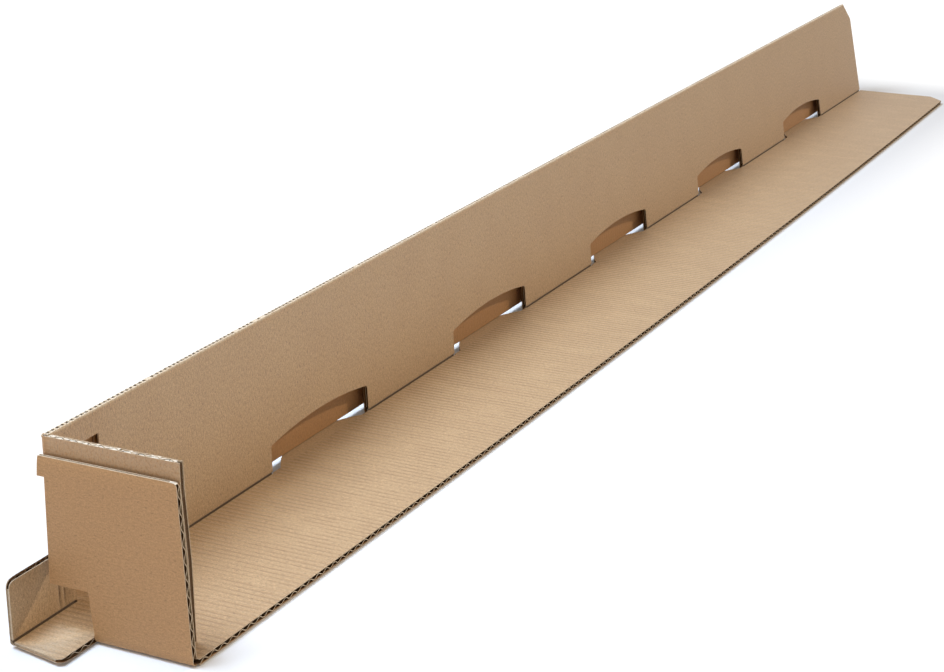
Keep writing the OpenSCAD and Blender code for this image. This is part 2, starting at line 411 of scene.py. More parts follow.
# The liner bent over the wall's top: in front of the wall's face, above its height, and wear, for the
# pale line of its broken fibres
CREST_SHAPE = [(0.0, -1.2, 0.0), (-0.15, -0.45, 0.5), (-0.4, -0.05, 1.0), (-0.65, 0.0, 1.0),
               (-0.9, 0.0, 1.0), (-2.9, -0.2, 0.8), (-3.3, -0.6, 0.4), (-3.6, -1.2, 0.0)]
CREST_MIDDLE = -1.9
# Along the crest: lengths of whole paper and of the tears between, the share of tears that are open, and
# the cells across it that a tear takes out
CREST_BRIDGE, CREST_TEAR, OPEN_SHARE = (1.1, 1.4), (1.95, 2.3), 0.94
TORN_CELLS = slice(4, 6)


def crest_rows(y):
    out = []
    for u, d, wear in CREST_SHAPE:
        hidden = on_wall(CREST_MIDDLE + (u - CREST_MIDDLE) * 0.8, WALL_H + d - LINER_T, y)
        out.append((on_wall(u, WALL_H + d, y), hidden, (WALL_H - u, y), wear))
    return out


def outer_flap_y(h):
    """The outer flap's outside at a height: it leans in until it rests on the inner flap."""
    return NEAR_Y + FLAP_SHIFT * h / OUTER_FLAP_H


def outer_flap_edges(h):
    """Places of the outer flap's left edge, of the notch's side and of its right edge at a height."""
    straight = OUTER_FLAP_H - OUTER_CORNER
    right = OUTER_FOOT_W + (OUTER_TOP_W - OUTER_FOOT_W) * min(1.0, h / straight)
    right -= round_off(h - straight, OUTER_CORNER)
    left = OUTER_SIDE + OUTER_TAPER * (1 - unit((h - NOTCH_H) / (OUTER_FLAP_H - EAR_H - NOTCH_H)))
    notch = TONGUE_W - NOTCH_TAPER * unit((h - BOARD_T) / (NOTCH_H - BOARD_T))
    return left, notch, right


def flap_crush(h):
    """How far the die has pressed each liner of the outer flap in, over the last 5 mm to its top."""
    return 0.5 * unit((h - (OUTER_FLAP_H - 5.0)) / 5.0) ** 2


def outer_flap_patches(inside):
    """Patches of one liner of the outer flap: beside the notch, above it and the ear."""
    offset, hidden = (BOARD_T, -LINER_T) if inside else (0.0, LINER_T)
    low = [4.5, 7.0, 11.0, 15.0, 18.5, 20.8, NOTCH_H]
    high = [NOTCH_H, 26, 32, 38, 44, 50, 56, 62, OUTER_FLAP_H - EAR_H]
    ear = [OUTER_FLAP_H - EAR_H, 71, 73.5, OUTER_FLAP_H - OUTER_CORNER,
           75.4, 76.1, 76.6, 76.9, OUTER_FLAP_H]
    side_shares = (0.0, 0.35, 0.7, 1.0)

    def place(x, h):
        y = outer_flap_y(h) + offset + math.copysign(flap_crush(h), hidden)
        return (WALL_X + x, y, h), (WALL_X + x, y + hidden, h), (-x, NEAR_Y - h)

    def bend(x):
        """The flap's own fold: its sharp inner corner, or its rounded outside."""
        at = WALL_X + x
        if inside:
            corner = (at, NEAR_IN - LINER_T, BOARD_T - LINER_T)
            return [((at, NEAR_IN, BOARD_T), corner, (-x, NEAR_Y - BOARD_T))]
        out = [((at, NEAR_IN, 0.0), (at, NEAR_IN, LINER_T), (-x, NEAR_IN))]
        for a, b in bend_arc((NEAR_Y + FOLD_R, FOLD_R), 270, -84):
            out.append(((at,) + a, (at,) + b, (-x, NEAR_Y)))
        return out

    def beside_notch(f):
        column = bend(TONGUE_W + (OUTER_FOOT_W - TONGUE_W) * f)
        for h in low + high[1:] + ear[1:]:
            left, notch, right = outer_flap_edges(h)
            column.append(place(notch + (right - notch) * f, h))
        return column

    def above_notch(f):
        column = []
        for h in high + ear[1:]:
            left, notch, right = outer_flap_edges(h)
            column.append(place(left + (notch - left) * f, h))
        return column

    def on_ear(f):
        return [place((OUTER_SIDE + EAR_REACH) * f - EAR_REACH, h) for h in ear]

    return [patch(beside_notch, (0.0, 0.1, 0.25, 0.45, 0.65, 0.85, 1.0)),
            patch(above_notch, side_shares), patch(on_ear, side_shares)]


def inner_flap_edge(z):
    """The inner flap's free edge at a height: it widens between 74 and 40 mm above the ground."""
    return INNER_FLAP_W + (INNER_FLAP_FOOT_W - INNER_FLAP_W) * unit((74.0 - z) / 34.0)


def inner_flap_patches(inside):
    """Patches of one liner of the inner flap: over the tongue and beside it. Its outside is a little paler.
    """
    reach = WALL_SETBACK + TONGUE_LEN
    high = [BOARD_T + v for v in WALL_ROWS] + [BOARD_T + WALL_H]
    low = [BOARD_T + LAYER_GAP, 8.0, 15.0, 22.0, high[0]]
    y, hidden, pale_fibre_and_highlight = (CREASE_Y, -LINER_T, 0.0) if inside else (CREASE_Y - BOARD_T, LINER_T, 0.2)

    def place(x, z):
        return (WALL_X + x, y, z), (WALL_X + x, y + hidden, z), (z - BOARD_T, CREASE_Y - x), pale_fibre_and_highlight

    def bend(z):
        """The flap's own fold: its sharp inner corner, or its rounded outside."""
        v = z - BOARD_T
        if inside:
            return [((WALL_X, CREASE_Y, z), (WALL_X - LINER_T, CREASE_Y - LINER_T, z), (v, CREASE_Y))]
        out = [((WALL_X - BOARD_T, CREASE_Y, z), (WALL_X - BOARD_T + LINER_T, CREASE_Y, z), (v, CREASE_Y))]
        arc = bend_arc((WALL_X + FOLD_R - BOARD_T, CREASE_Y - BOARD_T + FOLD_R), 180, 90)
        for i, (a, b) in enumerate(arc):
            out.append((a + (z,), b + (z,), (v, CREASE_Y - i * 0.6)))
        return out

    def over_tongue(z):
        return bend(z) + [place(x, z) for x in (2.0, 7.0, 13.0, 20.0, 27.0, reach)]

    def beside_tongue(z):
        width = inner_flap_edge(z) - reach
        return [place(reach + width * f, z) for f in (0.0, 0.2, 0.4, 0.6, 0.8, 0.92, 1.0)]

    return [patch(over_tongue, high), patch(beside_tongue, low + high[1:])]


TONGUE_SHARES = [0.0, 0.15, 0.3, 0.45, 0.6, 0.72, 0.82, 0.87, 0.91, 0.95, 0.98, 1.0]
TONGUE_FLOOR_ROWS = [TONGUE_W, 27.7, 27.0, 26.0, 24.5, 20.0, 16.0, 12.0, 9.0, 6.0, NEXT_TO_FOLD]


def tongue_tip(x):
    """The tongue's slanted near edge, with its outer corner rounded."""
    tip = TIP_Y - TONGUE_SLANT * max(0.0, x) / TONGUE_W
    return tip + round_off(x - (TONGUE_W - TONGUE_R), TONGUE_R)


def tongue_crush(y):
    """How far the die has pressed the tongue's outer liner in, over the last 9 mm to its near edge."""
    return 1.4 * (1 - unit((y - TIP_Y + 1.0) / 9.0)) ** 1.5


def tongue_floor_rows(f, top):
    """One liner of the tongue's floor, at a share of the way to its tip. Its middle gets a painted
    highlight, mixed toward pale fibre.
    """
    def at(x):
        return NEAR_IN + (tongue_tip(x) - NEAR_IN) * f
    out = []
    for x in TONGUE_FLOOR_ROWS:
        y = at(x)
        z, hidden = (BOARD_T, -LINER_T) if top else (tongue_crush(y + TONGUE_SLANT * x / TONGUE_W), LINER_T)
        # A painted highlight in the middle of the tongue's floor
        pale_fibre_and_highlight = 0.4 * math.exp(-((x - TONGUE_W / 2) / 9.0) ** 2) if top else 0.0
        out.append(((WALL_X + x, y, z), (WALL_X + x, y, z + hidden), (-x, y), pale_fibre_and_highlight))
    y = at(0)
    if top:
        return out + groove_on_floor(y)
    return out + level_rows(y, to_fold(FOLD_R - BOARD_T, (0.4, 0.75, 1.0)), tongue_crush(y), LINER_T)


def tongue_wall_rows(y, front):
    """One liner of the tongue's upright panel."""
    base = PIER_ROWS[-1]
    top = TONGUE_H - round_off(TONGUE_R - (y - TIP_Y), TONGUE_R)
    heights = PIER_ROWS + [PIER_TOP, PIER_TOP + (TONGUE_H - PIER_TOP) * 0.5, TONGUE_H]
    heights = [v if v <= base else base + (v - base) * (top - base) / (TONGUE_H - base) for v in heights]
    if front:
        line = near_crease(y)
        return groove_on_wall(y) + [face_row(v, y, *line) for v in heights]
    c, out = tongue_crush(y), []
    for (ax, az), (bx, bz) in long_fold():
        shift, lift = c * unit(-ax / BOARD_T), c * unit(1 - az / FOLD_R)
        out.append(((WALL_X + ax + shift, y, az + lift), (WALL_X + bx + shift, y, bz + lift), (az, y)))
    return out + [(on_wall(c - BOARD_T, v, y), on_wall(c + LINER_T - BOARD_T, v, y), (v, y))
                  for v in heights]


def slot_kept(places, n_rows):
    """Cells of the wall that stay round the lock slot."""
    keep = np.ones((len(places) - 1, n_rows - 1), bool)
    for i, (a, b) in enumerate(zip(places, places[1:])):
        if SLOT_START < (a + b) / 2 < SLOT_END:
            keep[i, SLOT_ROW] = False
    return keep


def liners(board):
    """The two liners, each one paper over the whole sheet."""
    load_side, outer_side = [], []
    for places, opening in stretches():
        load_side.append(patch(lambda y: floor_top_rows(y, opening), places))
        outer_side.append(patch(lambda y: floor_under_rows(y, opening), places))
        on_the_wall = [y for y in places if y >= CREASE_Y - TINY]
        if len(on_the_wall) > 1:
            for side, rows_of in ((load_side, wall_front_rows), (outer_side, wall_back_rows)):
                keep = slot_kept(on_the_wall, len(rows_of(on_the_wall[0], opening)))
                side.append(patch(lambda y: rows_of(y, opening), on_the_wall, keep))
        on_the_tongue = [y for y in places if y <= CREASE_Y + TINY]
        if len(on_the_tongue) > 1:
            load_side.append(patch(lambda y: tongue_wall_rows(y, True), on_the_tongue))
            outer_side.append(patch(lambda y: tongue_wall_rows(y, False), on_the_tongue))
    tongue_places = [NEAR_IN + (TIP_Y - NEAR_IN) * f for f in TONGUE_SHARES]
    back_places = columns(CREASE_Y + BACK_INSET, FAR_Y - BACK_INSET, FLUTE_PITCH)
    for side, load, back_of in ((load_side, True, back_outer_rows), (outer_side, False, back_inner_rows)):
        side.append(patch(lambda f: tongue_floor_rows(f, load), TONGUE_SHARES))
        side.append(patch(lambda y: tongue_wall_rows(y, load), tongue_places))
        side.append(patch(back_of, back_places))
        side += outer_flap_patches(load) + inner_flap_patches(load)
    board.paper(load_side, LOAD_LINER, CUT_EDGE)
    board.paper(outer_side, OUTER_LINER, CUT_EDGE)

    def behind_wall(point):
        return point[0] < WALL_X - 2.0 and BOARD_T < point[2] < 60.0

    # The rims of the wall's back stay brown, because they were cut clean and lie in the shade
    for i, face in enumerate(board.faces):
        if board.kinds[i] == CUT_EDGE and all(behind_wall(board.points[k]) for k in face):
            board.kinds[i] = FLUTING


def crest(board):
    """The rolled top edge, torn open in short dashes, about two to a flute, with painted shade under the
    tears.
    """
    rng = np.random.default_rng(7)
    places, dash = [CREASE_Y - 1.2], []
    while places[-1] < FAR_Y - WALL_CORNER - 4:
        bridge, tear = rng.uniform(*CREST_BRIDGE), rng.uniform(*CREST_TEAR)
        open_here = rng.random() < OPEN_SHARE
        places += [places[-1] + bridge, places[-1] + bridge + tear]
        dash += [False, open_here]
    places.append(FAR_Y - WALL_CORNER)
    dash.append(False)
    keep = np.ones((len(places) - 1, len(CREST_SHAPE) - 1), bool)
    for i, is_open in enumerate(dash):
        keep[i, TORN_CELLS] = not is_open
    board.paper([patch(crest_rows, places, keep)], LOAD_LINER, CUT_EDGE)

    def shade_sheet(y):
        """A sheet painted dark as shade in the hollow under the tears."""
        return [(on_wall(u, WALL_H - d, y), on_wall(u, WALL_H - d - 0.25, y), (WALL_H - u, y), -1.0)
                for u, d in ((-0.6, 1.05), (-2.3, 0.95), (-3.15, 0.82))]
    shade_sheet_places = columns(CREASE_Y, FAR_Y - WALL_CORNER, 4 * FLUTE_PITCH)
    board.paper([patch(shade_sheet, shade_sheet_places)], LOAD_LINER, LOAD_LINER)


FLUTE_SWING = BOARD_T / 2 - LINER_T - FLUTING_T / 2
# Flutes stop this far from the fold
FLUTE_END = 1.6
# The die squashes the flutes' rims this much thicker, over this length
RIM_SQUASH, RIM_LEN = 1.7, 0.8
# A crush of the tongue that would leave the flutes flat
FLAT_CRUSH = 1.9


def flutes(board, place, start, end, steps=8, rim_kind=CUT_EDGE):
    """Fluted paper from start to end, with place(t, w, r) giving the flute's two ends at r = 0 and 1,
    where t runs across the flutes and w through the board. Its squashed rims swing a little less, to
    stay clear of the liners."""
    n = max(2, round((end - start) / FLUTE_PITCH * steps))
    ts = [start + (end - start) * i / n for i in range(n + 1)]

    def rows(t):
        phase = 2 * math.pi * t / FLUTE_PITCH
        w = FLUTE_SWING * math.cos(phase)
        slope = -FLUTE_SWING * 2 * math.pi / FLUTE_PITCH * math.sin(phase)
        k = FLUTING_T / 2 / math.sqrt(1 + slope * slope)

        def both_sides(swing, half, r):
            return [np.array(place(t - slope * q, swing + q, r), float) for q in (half, -half)]
        thin = [both_sides(w, k, r) for r in (0, 1)]
        wide = [both_sides(w * (1 - 0.9 * FLUTING_T / FLUTE_SWING), RIM_SQUASH * k, r) for r in (0, 1)]
        out = []
        for here, there, rim, order in ((0, 1, wide[0], 1), (1, 0, wide[1], -1)):
            run = max(2.5, np.linalg.norm(thin[there][0] - thin[here][0]))
            inset = [q + (o - q) * RIM_LEN / run for q, o in zip(thin[here], thin[there])]
            pair = [(rim[0], rim[1], (0.08 * here, t)), (inset[0], inset[1], (0.02 + 0.05 * here, t))]
            out += pair[::order]
        return out

    board.paper([patch(rows, ts)], FLUTING, rim_kind)


def fluting(board):
    """The fluted paper of every panel."""
    mid = BOARD_T / 2

    def floor_place(opening):
        def place(t, w, r):
            back = FLUTE_END if opening is None else -tab_at(t, opening)
            return (WALL_X + (free_edge_at(min(t, FAR_Y)) if r == 0 else back), t, mid + w)
        return place

    def wall_foot(opening):
        """Where the wall's flutes start: just above the fold, or at an opening's edge."""
        if opening is None:
            return lambda t: FLUTE_END
        return lambda t: arch_at(min(max(t, opening[0]), opening[1]), opening)

    def wall_place(foot, high):
        def place(t, w, r):
            return on_wall(w - mid, min(high, wall_top_at(t)) if r else foot(t), t)
        return place

    for places, opening in stretches():
        flutes(board, floor_place(opening), places[0], places[-1])
        first, last, foot = max(places[0], CREASE_Y), places[-1], wall_foot(opening)
        if last <= CREASE_Y + 0.1:
            continue
        if opening is OPENINGS[0]:
            flutes(board, wall_place(foot, CREST_V), first, SLOT_START)
            flutes(board, wall_place(foot, SLOT_LOW), SLOT_START, SLOT_END)
            flutes(board, wall_place(lambda t: SLOT_HIGH, CREST_V), SLOT_START, SLOT_END)
            flutes(board, wall_place(foot, CREST_V), SLOT_END, last)
        else:
            flutes(board, wall_place(foot, CREST_V), first, last)

    def back_place(t, w, r):
        return back_point(1.5 * BOARD_T, PANEL_TOP, r, t) + np.array((w, 0, 0))

    flutes(board, back_place, CREASE_Y + BACK_INSET, FAR_Y - BACK_INSET)

    def outer_place(low):
        def place(t, w, r):
            left, notch, right = outer_flap_edges(min(max(t, 0.0), OUTER_FLAP_H))
            start = notch if low else (-EAR_REACH if t > OUTER_FLAP_H - EAR_H else left)
            return (WALL_X + (right if r else start), outer_flap_y(t) + mid + w, t)
        return place

    flutes(board, outer_place(True), BOARD_T, NOTCH_H)
    flutes(board, outer_place(False), NOTCH_H, OUTER_FLAP_H - EAR_H)
    flutes(board, outer_place(False), OUTER_FLAP_H - EAR_H + 0.01, OUTER_FLAP_H)

    def inner_place(low):
        def place(t, w, r):
            x = t if t <= INNER_FLAP_W or not r else INNER_FLAP_W - 0.02
            return (WALL_X + x, CREASE_Y - mid + w, BOARD_T + WALL_H if r else low)
        return place

    reach = WALL_SETBACK + TONGUE_LEN
    flutes(board, inner_place(BOARD_T + TONGUE_H), 1.0, reach)
    flutes(board, inner_place(BOARD_T + LAYER_GAP), reach, INNER_FLAP_W)

    def crushed(t, w):
        """Place through the tongue's board, counted from its middle, where the die has pressed it."""
        c = tongue_crush(t)
        return c / 2 + w * (1 - c / FLAT_CRUSH)

    def tongue_floor_place(t, w, r):
        return (WALL_X + (FLUTE_END if r else TONGUE_W), t, mid + crushed(t, w))

    def tongue_wall_place(t, w, r):
        # The first flute is cut shorter by the rounded corner
        top = TONGUE_H - (1.6 if t < TIP_Y + 2 else 0.0)
        return (WALL_X - mid + crushed(t, w), t, BOARD_T + (top if r else FLUTE_END))

    flutes(board, tongue_floor_place, TIP_Y - 0.4, NEAR_IN)
    flutes(board, tongue_wall_place, TIP_Y + 0.3, CREASE_Y, rim_kind=FLUTING)


def closed_edges(board):
    """The crushed board between the liners along cuts that follow the flutes, set back a little."""
    edge = 0.75 * LINER_T
    crush = flap_crush(OUTER_FLAP_H) + edge
    y_out, y_in = outer_flap_y(OUTER_FLAP_H) + crush, outer_flap_y(OUTER_FLAP_H) + BOARD_T - crush
    down, along_y, jamb_back = (0, 0, -1), (0, 1, 0), 1.8

    def strip(kind, places, sides, inward, back=0.3):
        """A thin strip between the points that sides(t) gives, facing away from inward and set back."""
        into = np.array(inward, float)

        def rows(t):
            return [(np.array(q) + into * back, np.array(q) + into * (back + FLUTING_T), (k * 0.7, t))
                    for k, q in enumerate(sides(t))]
        board.paper([patch(rows, places)], kind, kind)

    def along(start, end, step=8.0):
        n = max(2, math.ceil(abs(end - start) / step))
        return [start + (end - start) * i / n for i in range(n + 1)]

    def flap_top(x):
        return (WALL_X + x, y_out, OUTER_FLAP_H), (WALL_X + x, y_in, OUTER_FLAP_H)

    def torn_corner(x):
        """A lump of torn fibres at the flap's right corner, which falls away with its round."""
        z = OUTER_FLAP_H + 0.35 - 0.09 * max(0.0, x - OUTER_TOP_W + 3) ** 2
        return (WALL_X + x, y_out - 0.2, z), (WALL_X + x, y_in, z)

    def tongue_end(x):
        y = tongue_tip(x)
        return (WALL_X + x, y, tongue_crush(TIP_Y) + edge), (WALL_X + x, y, BOARD_T - edge)

    def tongue_wall_end(v):
        return on_wall(tongue_crush(TIP_Y) + edge - BOARD_T, v, TIP_Y), on_wall(-edge, v, TIP_Y)

    def inner_flap_side(z):
        x = WALL_X + inner_flap_edge(z)
        return (x, CREASE_Y - edge, z), (x, CREASE_Y - BOARD_T + edge, z)

    def floor_end(x):
        return (WALL_X + x, FAR_Y, edge), (WALL_X + x, FAR_Y, BOARD_T - edge)

    def wall_cut(y):
        return lambda v: (on_wall(-edge, v, y), on_wall(edge - BOARD_T, v, y))

    def back_cut(y):
        to_middle = np.array((edge, 0, 0))
        return lambda f: (back_point(BOARD_T, PANEL_TOP, f, y) - to_middle,
                          back_point(2 * BOARD_T, PANEL_TOP, f, y) + to_middle)

    strip(CUT_EDGE, along(0.2 - EAR_REACH, OUTER_TOP_W - OUTER_CORNER), flap_top, down)
    strip(TORN, along(OUTER_TOP_W - 4.2, OUTER_TOP_W - 0.9, 0.8), torn_corner, down)
    strip(CUT_EDGE, along(0.4, TONGUE_W - TONGUE_R, 5.0), tongue_end, along_y)
    strip(CUT_EDGE, along(0.4, TONGUE_H - TONGUE_R, 5.0), tongue_wall_end, along_y)
    strip(FLUTING, along(BOARD_T + 1.0, BOARD_T + WALL_H - 0.3), inner_flap_side, (-1, 0, 0))
    strip(FLUTING, along(1.0, FLOOR_W - FLOOR_CORNER), floor_end, (0, -1, 0))
    strip(FLUTING, along(1.0, wall_top_at(FAR_Y) - 0.5), wall_cut(FAR_Y), (0, -1, 0))
    # The top of the inner flap is squashed shut in short ragged lengths
    rng = np.random.default_rng(11)
    x, top = 0.6, BOARD_T + WALL_H
    while x < INNER_FLAP_W - 3:
        length, lift, sway = rng.uniform(1.4, 3.6), rng.uniform(-0.1, 0.35), rng.uniform(-0.25, 0.25)

        def ragged(t):
            return ((WALL_X + t, CREASE_Y - 0.3 + sway * 0.4, top + lift),
                    (WALL_X + t, CREASE_Y - 1.7 + sway, top + lift * 0.6),
                    (WALL_X + t, CREASE_Y - BOARD_T + 0.35, top - 0.2 + lift * 0.5))
        strip(TORN, [x, x + length / 2, x + length], ragged, down)
        x += length + rng.uniform(0.1, 0.7)
    for y, inward in ((CREASE_Y + BACK_INSET, 1), (FAR_Y - BACK_INSET, -1)):
        strip(FLUTING, along(0.02, 1.0, 0.1), back_cut(y), (0, inward, 0))
    for opening in OPENINGS:
        for y, inward in ((opening[0], -1), (opening[1], 1)):
            jamb = along(0.9, arch_at(y, opening) + 0.4, 4.0)
            strip(FLUTING, jamb, wall_cut(y), (0, inward, 0), jamb_back)
    for y, inward in ((SLOT_START, -1), (SLOT_END, 1)):
        strip(FLUTING, along(SLOT_LOW, SLOT_HIGH, 4.0), wall_cut(y), (0, inward, 0), jamb_back)


def linear(hex_colour):
    """An sRGB hex colour as linear RGBA."""
    rgb = [int(hex_colour[i:i + 2], 16) / 255 for i in (1, 3, 5)]
    return tuple(c / 12.92 if c <= 0.04045 else ((c + 0.055) / 1.055) ** 2.4 for c in rgb) + (1.0,)


def node(tree, kind, inputs=None, **settings):
    """Adds a node with its settings, and sets or links its inputs. A colour mix takes its share at
    input 0 and its two colours at 6 and 7."""
    made = tree.nodes.new(kind)
    for name, value in settings.items():
        setattr(made, name, value)
    for name, value in (inputs or {}).items():
        if isinstance(value, bpy.types.NodeSocket):
            tree.links.new(value, made.inputs[name])
        else:
            made.inputs[name].default_value = value
    return made


def new_material(name):
    """An empty material and its tree of nodes."""
    material = bpy.data.materials.new(name)
    material.use_nodes = True
    tree = material.node_tree
    tree.nodes.clear()
    return material, tree


def grain_of(along, across):
    """Scale of a pattern from the size of its grain along and across the flutes, in mm."""
    return (1 / (along * MM), 1 / (across * MM), 1 / (across * MM))


# Marks in the paper: grain across and along the flutes in mm, detail, where the noise starts and ends,
# the tint it brings and how much of it. True fibres are finer than the picture can show, so the finest
# marks are drawn as coarse as they need to be to be seen.
PAPER_MARKS = (
    (30.0, 40.0, 2.0, 0.34, 0.66, "#a37a50", 0.12),
    (0.8, 1.8, 2.0, 0.4, 0.6, "#7d5836", 0.32),
    (0.7, 0.7, 2.0, 0.4, 0.6, "#6e4c2c", 0.34),
    (1.0, 2.4, 2.0, 0.62, 0.7, "#4f351d", 0.46),
    (0.9, 0.9, 1.0, 0.77, 0.8, "#4a3320", 0.65),
)
# Spacing of the fine lines across the floor, as it was measured in the photo
LINE_PITCH = 3.75
# Height of the floor's lines, and the share of it that the paper has where it is smooth
LINE_H, SMOOTH_SHARE = 0.06, 0.2
# Tints of the painted shade along the floor's lines, of pale fibre and painted highlight, and of painted
# shade
LINE_SHADE_TINT, PALE_FIBRE_AND_HIGHLIGHT, PAINTED_SHADE_TINT = "#7a5734", "#d9c7ab", "#3a2716"


def kraft_liner(name, pale, fibre, line_shade_share, gloss, sheen):
    """Machine-finished kraft paper: matt, cloudy from its pulp, flecked with fine fibres, and on the
    floor faintly lined from the board underneath, with painted shade along those lines."""
    material, tree = new_material(name)
    place = node(tree, "ShaderNodeAttribute", attribute_name="sheet").outputs["Vector"]
    colour = linear(pale)
    for across, along, detail, low, high, tint, share in PAPER_MARKS:
        grain = node(tree, "ShaderNodeMapping", {"Vector": place, "Scale": grain_of(along, across)})
        noise = node(tree, "ShaderNodeTexNoise", {
            "Vector": grain.outputs[0], "Scale": 1.0, "Detail": detail})
        amount = node(tree, "ShaderNodeMapRange", {
            "Value": noise.outputs["Fac"], "From Min": low, "From Max": high, "To Max": share * fibre})
        marked = node(tree, "ShaderNodeMix", {0: amount.outputs[0], 6: colour, 7: linear(tint)},
                      data_type="RGBA")
        colour = marked.outputs[2]
    # Painted shade of the fine ridges across the floor, as darker lines broken up along their length
    split = node(tree, "ShaderNodeSeparateXYZ", {"Vector": place})
    turn = node(tree, "ShaderNodeMath", {0: split.outputs["Y"], 1: 2 * math.pi / (LINE_PITCH * MM)},
                operation="MULTIPLY")
    wave = node(tree, "ShaderNodeMath", {0: turn.outputs[0]}, operation="COSINE")
    line = node(tree, "ShaderNodeMapRange", {
        "Value": wave.outputs[0], "From Min": 0.0, "From Max": 1.0, "To Max": line_shade_share})
    gaps = node(tree, "ShaderNodeMapping", {"Vector": place, "Scale": grain_of(24.0, 9.0)})
    broken = node(tree, "ShaderNodeTexNoise", {"Vector": gaps.outputs[0], "Scale": 1.0, "Detail": 2.0})
    shown = node(tree, "ShaderNodeMapRange", {
        "Value": broken.outputs["Fac"], "From Min": 0.34, "From Max": 0.56})
    on_floor = node(tree, "ShaderNodeMath", {0: split.outputs["X"], 1: 0.0}, operation="LESS_THAN")
    kept = node(tree, "ShaderNodeMath", {0: shown.outputs[0], 1: on_floor.outputs[0]}, operation="MULTIPLY")
    line_shade = node(tree, "ShaderNodeMath", {0: line.outputs[0], 1: kept.outputs[0]}, operation="MULTIPLY")
    with_line_shade = node(tree, "ShaderNodeMix", {0: line_shade.outputs[0], 6: colour, 7: linear(LINE_SHADE_TINT)},
                 data_type="RGBA")
    # Pale fibres and a painted highlight, and painted shade in the creases, the groove and under the
    # crest's tears
    torn = node(tree, "ShaderNodeMapping", {"Vector": place, "Scale": grain_of(1.2, 1.2)})
    patches = node(tree, "ShaderNodeTexNoise", {"Vector": torn.outputs[0], "Scale": 1.0, "Detail": 2.0})
    pale_patches = node(tree, "ShaderNodeMapRange", {
        "Value": patches.outputs["Fac"], "From Min": 0.3, "From Max": 0.5})
    worn = node(tree, "ShaderNodeAttribute", attribute_name="worn").outputs["Fac"]
    pale_share = node(tree, "ShaderNodeMath", {0: worn, 1: pale_patches.outputs[0]}, operation="MULTIPLY",
                      use_clamp=True)
    pale_fibre_and_highlight = node(tree, "ShaderNodeMix", {
        0: pale_share.outputs[0], 6: with_line_shade.outputs[2], 7: linear(PALE_FIBRE_AND_HIGHLIGHT)}, data_type="RGBA")
    painted_shade = node(tree, "ShaderNodeMath", {0: worn, 1: -1.0}, operation="MULTIPLY", use_clamp=True)
    with_painted_shade = node(tree, "ShaderNodeMix", {
        0: painted_shade.outputs[0], 6: pale_fibre_and_highlight.outputs[2], 7: linear(PAINTED_SHADE_TINT)}, data_type="RGBA")
    # The lines stand proud on the floor, and hardly at all where the paper is smooth
    fuzz = node(tree, "ShaderNodeMapping", {"Vector": place, "Scale": grain_of(0.9, 0.6)})
    fibres = node(tree, "ShaderNodeTexNoise", {
        "Vector": fuzz.outputs[0], "Scale": 1.0, "Detail": 3.0, "Roughness": 0.65})
    relief = node(tree, "ShaderNodeMath", {
        0: on_floor.outputs[0], 1: 1 - SMOOTH_SHARE if line_shade_share else 0.0, 2: SMOOTH_SHARE},
        operation="MULTIPLY_ADD")
    ridges = node(tree, "ShaderNodeMath", {0: wave.outputs[0], 1: relief.outputs[0]}, operation="MULTIPLY")
    height = node(tree, "ShaderNodeMath", {0: fibres.outputs["Fac"], 1: 0.45, 2: ridges.outputs[0]},
                  operation="MULTIPLY_ADD")
    bump = node(tree, "ShaderNodeBump", {
        "Height": height.outputs[0], "Distance": LINE_H * MM, "Strength": 1.0})
    shader = node(tree, "ShaderNodeBsdfPrincipled", {
        "Base Color": with_painted_shade.outputs[2], "Roughness": 0.55, "Specular IOR Level": gloss,
        "Sheen Weight": sheen, "Sheen Roughness": 0.4, "Sheen Tint": (1, 1, 1, 1),
        "Normal": bump.outputs[0]})
    node(tree, "ShaderNodeOutputMaterial", {"Surface": shader.outputs[0]})
    return material


def rough_paper(name, deep, pale, along, across, detail, roughness):
    """Bare paper without a finish: two browns in soft clouds, and no shine."""
    material, tree = new_material(name)
    place = node(tree, "ShaderNodeAttribute", attribute_name="sheet").outputs["Vector"]
    pulp = node(tree, "ShaderNodeMapping", {"Vector": place, "Scale": grain_of(along, across)})
    cloud = node(tree, "ShaderNodeTexNoise", {"Vector": pulp.outputs[0], "Scale": 1.0, "Detail": detail})
    mixed = node(tree, "ShaderNodeMix", {0: cloud.outputs["Fac"], 6: linear(deep), 7: linear(pale)},
                 data_type="RGBA")
    shader = node(tree, "ShaderNodeBsdfPrincipled", {
        "Base Color": mixed.outputs[2], "Roughness": roughness, "Specular IOR Level": 0.2})
    node(tree, "ShaderNodeOutputMaterial", {"Surface": shader.outputs[0]})
    return material


def board_materials():
    """The materials in the order that the board's faces name them."""
    return (
        # Pale and smooth, with lines and flecks that show
        kraft_liner("kraft liner, load side", "#cdac7f", fibre=1.0, line_shade_share=0.46, gloss=1.0, sheen=0.26),
        # Redder and more even, without lines
        kraft_liner("kraft liner, outer side", "#c09160", fibre=0.6, line_shade_share=0.0, gloss=0.4, sheen=0.1),
        # Pale torn fibres along a cut
        rough_paper("kraft liner, die-cut edge", "#a98760", "#e2d2b8", 1.6, 1.6, 2.0, 0.9),
        # Recycled and pressed into waves, so darker and rougher than the liners, and darker still as
        # painted shade of the open flutes
        rough_paper("fluting paper, corrugated", "#3f2c1b", "#6a4f34", 3.3, 1.1, 3.0, 0.92),
        # Almost white where the die has burst the paper
        rough_paper("board edge, squashed by the die", "#c9b595", "#f6efe2", 1.6, 1.6, 2.0, 0.9),
    )


